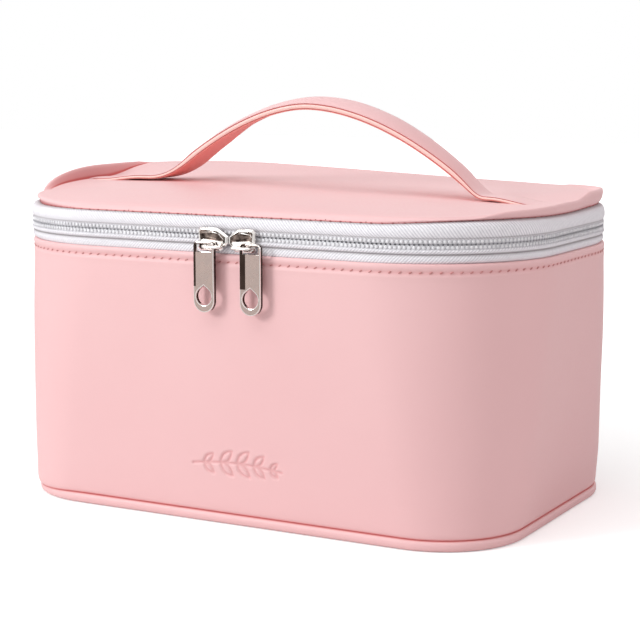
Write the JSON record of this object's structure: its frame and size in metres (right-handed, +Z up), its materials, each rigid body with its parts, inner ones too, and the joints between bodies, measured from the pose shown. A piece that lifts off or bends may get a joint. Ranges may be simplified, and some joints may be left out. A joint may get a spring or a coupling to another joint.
{
  "type": "zip-round cosmetic case",
  "caption": "Soft rounded-rectangle cosmetic case with a zip around three sides, a hinged lid with a strap handle, and sliders with pulls.",
  "frame": {"origin": "on the surface the case stands on, under the middle of its plan", "axes": "+X to the right along the front, +Z up, the front with the sliders faces -Y"},
  "size_m": [0.2312, 0.1591, 0.1634],
  "materials": {
    "leather_pink": "matte",
    "leather_deep": "matte",
    "strap_foam": "matte",
    "foam_board": "matte",
    "lining_cloth": "satin",
    "binding_tape": "matte",
    "zip_tape": "matte",
    "zip_coil": "satin",
    "bright_nickel": "polished"
  },
  "bodies": {
    "case": {"outer_wall": "leather_pink", "wall_board": "foam_board", "wall_lining": "lining_cloth", "wall_binding": "binding_tape", "base_panel": "leather_pink", "base_board": "foam_board", "base_lining": "lining_cloth", "base_welt": "leather_pink", "lower_zip_tape": "zip_tape", "lower_zip_coil": "zip_coil", "hinge_strip": "leather_pink", "hinge_lining": "lining_cloth"},
    "lid": {"lid_panel": "leather_pink", "lid_board": "foam_board", "lid_lining": "lining_cloth", "lid_binding": "binding_tape", "upper_zip_tape": "zip_tape", "upper_zip_coil": "zip_coil", "handle_top_strap": "leather_pink", "handle_core": "strap_foam", "handle_under_strap": "leather_deep"},
    "slider_left": {"slider_left_body": "bright_nickel", "slider_left_bail": "bright_nickel"},
    "pull_left": {"pull_left": "bright_nickel"},
    "slider_right": {"slider_right_body": "bright_nickel", "slider_right_bail": "bright_nickel"},
    "pull_right": {"pull_right": "bright_nickel"}
  },
  "joints": [
    {"name": "lid_fold", "type": "hinge", "parent": "case", "child": "lid", "pos_m": [0, 0.077, 0.1145], "axis": [-1, 0, 0], "range_deg": [0, 170], "deforming": ["hinge_strip", "hinge_lining"]},
    {"name": "slider_left_run", "type": "slide", "parent": "case", "child": "slider_left", "axis": [-1, 0, 0], "range_m": [0, 0.053]},
    {"name": "slider_right_run", "type": "slide", "parent": "case", "child": "slider_right", "axis": [1, 0, 0], "range_m": [0, 0.04]},
    {"name": "pull_left_swing", "type": "hinge", "parent": "slider_left", "child": "pull_left", "pos_m": [-0.0042, -0.08, 0.1104], "axis": [0, 1, 0], "range_deg": [-8, 100]},
    {"name": "pull_right_swing", "type": "hinge", "parent": "slider_right", "child": "pull_right", "pos_m": [0.0164, -0.08, 0.1104], "axis": [0, -1, 0], "range_deg": [-8, 100]}
  ]
}
